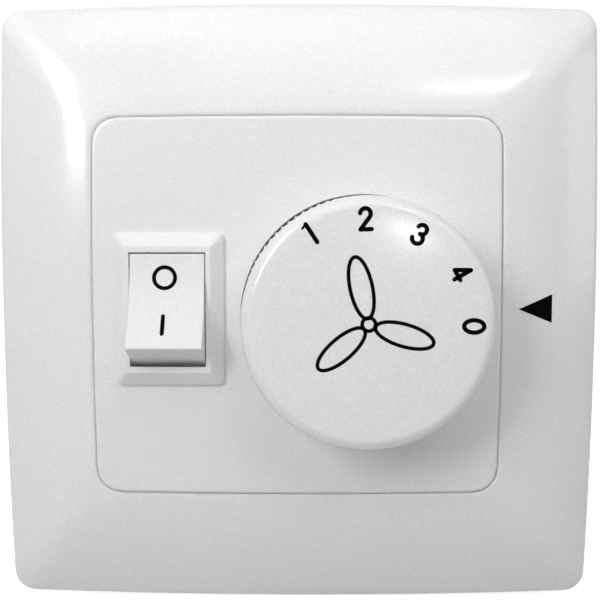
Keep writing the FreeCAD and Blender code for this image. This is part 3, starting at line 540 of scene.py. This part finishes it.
def make_knob():
    """The knob as one closed surface of revolution with its serrated grip, hollow round its hub."""
    round_bottom = KNOB.front - KNOB_ROUND
    grip_top = round_bottom - GRIP_TOP_GAP

    def radius_at(z):
        share = (z - KNOB.back) / (round_bottom - KNOB.back)
        return mix(KNOB_BASE_RADIUS, KNOB_TOP_RADIUS, share)

    outside = []
    for step in range(GRIP_RUNS + 1):
        share = step / GRIP_RUNS
        z = mix(KNOB.back, grip_top, share)
        outside.append(knob_ring(radius_at(z), z, mix(SERRATION_FOOT_DEPTH, SERRATION_TOP_DEPTH, share)))
    outside.append(knob_ring(radius_at(grip_top + GRIP_FADE), grip_top + GRIP_FADE))
    for step in range(ROUND_RUNS + 1):
        angle = math.pi / 2 * step / ROUND_RUNS
        outside.append(knob_ring(KNOB_TOP_RADIUS - KNOB_ROUND + KNOB_ROUND * math.cos(angle),
                                 round_bottom + KNOB_ROUND * math.sin(angle)))
    outside += [knob_ring(reach, KNOB.front) for reach in FACE_RINGS]
    inner_radius = KNOB_TOP_RADIUS - KNOB_WALL
    inside = [knob_ring(inner_radius, KNOB.back), knob_ring(inner_radius, KNOB_INSIDE_TOP),
              knob_ring(HUB_RADIUS, KNOB_INSIDE_TOP), knob_ring(HUB_RADIUS, HUB_BOTTOM)]
    points = [point for ring in outside + inside for point in ring]
    top_centre = len(points)
    hub_centre = top_centre + 1
    points += [plan(KNOB.x, KNOB.y, KNOB.front), plan(KNOB.x, KNOB.y, HUB_BOTTOM)]

    count = len(outside[0])
    first_inside = len(outside) * count
    last_outside = first_inside - count
    last_inside = top_centre - count
    faces = []
    for k in range(len(outside) - 1):
        faces += bridge(k * count, (k + 1) * count, count)
    faces += [(last_outside + i, last_outside + (i + 1) % count, top_centre) for i in range(count)]
    faces += bridge(first_inside, 0, count)
    for k in range(len(inside) - 1):
        faces += bridge(first_inside + (k + 1) * count, first_inside + k * count, count)
    faces += [(last_inside + (i + 1) % count, last_inside + i, hub_centre) for i in range(count)]
    knob = mesh_object("knob_shell", points, faces, smooth_angle=30)
    knob.data.materials.append(MATERIALS["knob"])
    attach(knob, "knob")
    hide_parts("knob")


# Rocker cap

def make_cap():
    """The cap's own form with its concave front and round tips shaded smooth."""
    same_place = 0.000002
    smooth_angle = 24
    source = nodes["rocker_cap"]
    mesh = source.data.copy()
    form = bmesh.new()
    form.from_mesh(mesh)
    bmesh.ops.remove_doubles(form, verts=form.verts, dist=same_place)
    form.to_mesh(mesh)
    form.free()
    mesh.shade_smooth()
    mesh.set_sharp_from_angle(angle=math.radians(smooth_angle))
    cap = bpy.data.objects.new("cap_shell", mesh)
    bpy.context.scene.collection.objects.link(cap)
    cap.matrix_world = source.matrix_world.copy()
    cap.data.materials.clear()
    cap.data.materials.append(MATERIALS["rocker"])
    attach(cap, "rocker")
    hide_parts("rocker_cap")


# Print

def arc(cx, cy, rx, ry, start, end, runs):
    """Points on an ellipse between two angles in degrees."""
    points = []
    for step in range(runs + 1):
        angle = math.radians(mix(start, end, step / runs))
        points.append((cx + rx * math.cos(angle), cy + ry * math.sin(angle)))
    return points


def oval(cx, cy, rx, ry, runs):
    return arc(cx, cy, rx, ry, 0, 360 * (1 - 1 / runs), runs - 1)


# Strokes of the digits as (path, closed, width), in millimetres from the digit's middle
BOLD = 0.56
FLAG = 0.30
DIGITS = {
    "0": [(oval(0.0, 0.0, 0.78, 1.26, runs=48), True, BOLD)],
    "1": [([(0.25, 1.32), (0.25, -1.32)], False, BOLD), ([(0.25, 1.30), (-0.38, 1.10)], False, FLAG)],
    "2": [(arc(0.0, 0.62, 0.66, 0.68, 172, -18, 16) + [(0.50, 0.18), (-0.68, -1.30)], False, BOLD),
          ([(-0.68, -1.30), (0.72, -1.30)], False, BOLD)],
    "3": [(arc(0.0, 0.64, 0.60, 0.60, 165, -88, 18), False, BOLD),
          (arc(0.0, -0.58, 0.68, 0.66, 88, -168, 20), False, BOLD)],
    "4": [([(0.28, -1.25), (0.28, 1.10)], False, BOLD), ([(0.28, 1.10), (-0.74, -0.65)], False, BOLD),
          ([(-0.74, -0.65), (0.72, -0.65)], False, BOLD)],
}
# Where each digit stands on the knob: angle from the right and distance from the middle
DIGIT_SPOTS = {
    "0": (-0.6, 13.15),
    "4": (29.8, 13.3),
    "3": (61.4, 12.95),
    "2": (92.3, 13.3),
    "1": (123.3, 13.6),
}


def round_end(end, other, half):
    """Points round the end of a stroke, from its left side to its right."""
    runs = 6
    angle = math.atan2(end[1] - other[1], end[0] - other[0])
    points = []
    for step in range(1, runs):
        spot = angle + math.pi / 2 - math.pi * step / runs
        points.append((end[0] + half * math.cos(spot), end[1] + half * math.sin(spot)))
    return points


def plate_solid(loop, place, lift):
    """A thin plate inside one outline. place maps (x, y, height) to the frame."""
    count = len(loop)
    points = [place(x, y, lift) for x, y in loop] + [place(x, y, -PRINT_SINK) for x, y in loop]
    faces = [tuple(range(count)), tuple(range(2 * count - 1, count - 1, -1))]
    faces += [(i, count + i, count + (i + 1) % count, (i + 1) % count) for i in range(count)]
    return points, faces


def ring_solid(outer, inner, place, lift):
    """A thin plate between two outlines of equal count."""
    count = len(outer)
    levels = [(ring, height) for height in (lift, -PRINT_SINK) for ring in (outer, inner)]
    points = [place(x, y, height) for ring, height in levels for x, y in ring]
    faces = []
    for i in range(count):
        j = (i + 1) % count
        faces.append((i, j, count + j, count + i))
        faces.append((3 * count + i, 3 * count + j, 2 * count + j, 2 * count + i))
        faces.append((2 * count + i, 2 * count + j, j, i))
        faces.append((count + i, count + j, 3 * count + j, 3 * count + i))
    return points, faces


def stroke_solid(path, width, closed, place, lift):
    """A flat stroke along a path, as a thin solid with round ends or as a ring."""
    least_bend = 0.5        # keeps a sharp corner from growing a spike
    half = width / 2
    count = len(path)
    left = []
    right = []
    for i, (x, y) in enumerate(path):
        before = path[(i - 1) % count] if closed or i > 0 else path[i]
        after = path[(i + 1) % count] if closed or i < count - 1 else path[i]
        dx, dy = after[0] - before[0], after[1] - before[1]
        size = math.hypot(dx, dy)
        reach = half
        if before != path[i] and after != path[i]:
            ux, uy = x - before[0], y - before[1]
            bend = abs(ux * dx + uy * dy) / (math.hypot(ux, uy) * size)
            reach = half / max(least_bend, bend)
        left.append((x - dy / size * reach, y + dx / size * reach))
        right.append((x + dy / size * reach, y - dx / size * reach))
    if closed:
        return ring_solid(left, right, place, lift)
    start_cap = round_end(path[0], path[1], half)
    end_cap = round_end(path[-1], path[-2], half)
    return plate_solid(left + end_cap + right[::-1] + start_cap, place, lift)


def print_object(name, solids, body):
    """One piece of print from several solids, which rides on a body."""
    points = []
    faces = []
    for some_points, some_faces in solids:
        base = len(points)
        points += some_points
        faces += [tuple(base + i for i in face) for face in some_faces]
    obj = mesh_object(name, points, faces)
    obj.data.materials.append(MATERIALS["ink"])
    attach(obj, body)


def knob_place(angle, radius):
    """Where print on the knob's face goes, with its top outward."""
    centre_x, centre_y = turned(radius, 0.0, angle)

    def place(x, y, height):
        across, along = turned(x, y, angle - 90)
        return plan(KNOB.x + centre_x + across, KNOB.y + centre_y + along, KNOB.front + height)
    return place


def digit_prints():
    for digit, (angle, radius) in DIGIT_SPOTS.items():
        place = knob_place(angle, radius)
        solids = [stroke_solid(path, width, closed, place, KNOB_PRINT_LIFT)
                  for path, closed, width in DIGITS[digit]]
        print_object(f"print_digit_{digit}", solids, "knob")


def fan_print():
    """Three outline blades round a hub ring."""
    place = knob_place(90.0, 0.0)
    hub = oval(*FAN_HUB, FAN_HUB_RADIUS, FAN_HUB_RADIUS, runs=40)
    solids = [stroke_solid(hub, FAN_STROKE, True, place, KNOB_PRINT_LIFT)]
    for direction, reach in BLADES:
        blade = oval((BLADE_START + reach) / 2, 0.0, (reach - BLADE_START) / 2, BLADE_HALF_WIDTH, runs=64)
        path = [turned(x, y, direction) for x, y in blade]
        solids.append(stroke_solid(path, FAN_STROKE, True, place, KNOB_PRINT_LIFT))
    print_object("print_fan", solids, "knob")


def rocker_place(x, y, height):
    """Places print on the cap's concave front: x across, y along the front from its middle."""
    lean = math.radians(CAP_LEAN)
    radius = CAP_HALF_CHORD / math.sin(lean)
    angle = y / radius
    over = (radius - height) * math.sin(angle)
    rise = CAP_EDGE + radius * math.cos(lean) - (radius - height) * math.cos(angle)
    return PIVOT + plan(x, over * math.cos(lean) + rise * math.sin(lean),
                        rise * math.cos(lean) - over * math.sin(lean))


def rocker_prints():
    circle = oval(*OFF_RING, OFF_RING_RADIUS, OFF_RING_RADIUS, runs=48)
    ring = stroke_solid(circle, OFF_RING_STROKE, True, rocker_place, ROCKER_PRINT_LIFT)
    print_object("print_off_ring", [ring], "rocker")
    bar = stroke_solid(ON_BAR, ON_BAR_STROKE, False, rocker_place, ROCKER_PRINT_LIFT)
    print_object("print_on_bar", [bar], "rocker")


def face_height(x):
    """How far the surround's face stands out at a place on its right side."""
    half = SURROUND.width / 2
    window = PANEL.x + PANEL.width / 2 + FRAME_GAP
    share = (half - x) / (half - window)
    edge, crown = frame_profile()
    line = edge + crown
    for (s0, z0), (s1, z1) in zip(line, line[1:]):
        if s0 <= share <= s1:
            return mix(z0, z1, (share - s0) / (s1 - s0))
    return line[-1][1]


def pointer_print():
    """Black triangle on the surround, level with the knob, from its tip to its base."""
    base = (POINTER_UPPER[0] + POINTER_LOWER[0]) / 2
    points = []
    for lift in (POINTER_LIFT, -POINTER_SINK):
        for step in range(POINTER_RUNS + 1):
            share = step / POINTER_RUNS
            x = mix(POINTER_TIP[0], base, share)
            z = face_height(x) + lift
            points.append(plan(x, mix(POINTER_TIP[1] + POINTER_TIP_HALF, POINTER_UPPER[1], share), z))
            points.append(plan(x, mix(POINTER_TIP[1] - POINTER_TIP_HALF, POINTER_LOWER[1], share), z))
    half = len(points) // 2
    faces = []
    for a in range(0, half - 2, 2):
        faces.append((a, a + 1, a + 3, a + 2))
        faces.append((half + a + 2, half + a + 3, half + a + 1, half + a))
        faces.append((a + 2, half + a + 2, half + a, a))
        faces.append((a + 1, half + a + 1, half + a + 3, a + 3))
    faces.append((0, half, half + 1, 1))
    faces.append((half - 1, 2 * half - 1, 2 * half - 2, half - 2))
    print_object("print_pointer", [(points, faces)], "plate")


# Light and floor

def area_light(name, aim, azimuth, elevation, distance, width, height, power):
    data = bpy.data.lights.new(name, "AREA")
    data.shape = "RECTANGLE"
    data.size = width
    data.size_y = height
    data.energy = power
    light = bpy.data.objects.new(name, data)
    bpy.context.scene.collection.objects.link(light)
    side = math.radians(azimuth)
    up = math.radians(elevation)
    way = Vector((math.sin(side) * math.cos(up), -math.cos(side) * math.cos(up), math.sin(up)))
    light.location = Vector(aim) + distance * way
    light.rotation_euler = (-way).to_track_quat("-Z", "Y").to_euler()


def seen_rays(tree):
    """1 for rays from the camera and for what they meet in gloss or through glass, else 0."""
    path = tree.nodes.new("ShaderNodeLightPath")
    seen = math_node(tree, "MAXIMUM", path.outputs["Is Camera Ray"], path.outputs["Is Glossy Ray"])
    return math_node(tree, "MAXIMUM", seen, path.outputs["Is Transmission Ray"])


def make_floor():
    material = bpy.data.materials.new("floor_pale")
    material.use_nodes = True
    tree = material.node_tree
    tree.nodes.clear()
    out = tree.nodes.new("ShaderNodeOutputMaterial")
    diffuse = tree.nodes.new("ShaderNodeBsdfDiffuse")
    glow = tree.nodes.new("ShaderNodeEmission")
    both = tree.nodes.new("ShaderNodeAddShader")
    away = tree.nodes.new("ShaderNodeVectorMath")
    away.operation = "LENGTH"
    diffuse.inputs["Color"].default_value = (FLOOR_TONE, FLOOR_TONE, FLOOR_TONE, 1)
    tree.links.new(tree.nodes.new("ShaderNodeTexCoord").outputs["Object"], away.inputs[0])
    level = spread(tree, away.outputs["Value"], low=FLOOR_GLOW_NEAR, high=FLOOR_GLOW_FAR,
                   start=FLOOR_GLOW_START, end=FLOOR_GLOW_END)
    tree.links.new(math_node(tree, "MULTIPLY", seen_rays(tree), level), glow.inputs["Strength"])
    tree.links.new(diffuse.outputs[0], both.inputs[0])
    tree.links.new(glow.outputs[0], both.inputs[1])
    tree.links.new(both.outputs[0], out.inputs["Surface"])
    z = -(SURROUND.height / 2 + FLOOR_DROP) * MM
    corners = ((-1, -1), (1, -1), (1, 1), (-1, 1))
    points = [Vector((x * FLOOR_REACH, y * FLOOR_REACH, z)) for x, y in corners]
    floor = mesh_object("floor", points, [(0, 1, 2, 3)])
    floor.data.materials.append(material)


def make_world():
    world = bpy.data.worlds.new("studio")
    bpy.context.scene.world = world
    world.use_nodes = True
    tree = world.node_tree
    tree.nodes.clear()
    out = tree.nodes.new("ShaderNodeOutputWorld")
    back = tree.nodes.new("ShaderNodeBackground")
    back.inputs["Color"].default_value = (1, 1, 1, 1)
    strength = spread(tree, seen_rays(tree), low=WORLD_LIGHT, high=WORLD_SEEN, start=0.0, end=1.0)
    tree.links.new(strength, back.inputs["Strength"])
    tree.links.new(back.outputs[0], out.inputs["Surface"])


def make_lights():
    for name, lamp in LAMPS.items():
        area_light(name, *lamp)


make_camera()
dress_nodes()
make_surround()
make_knob()
make_cap()
digit_prints()
fan_print()
rocker_prints()
pointer_print()
make_floor()
make_world()
make_lights()
bpy.context.scene.view_settings.view_transform = "Standard"
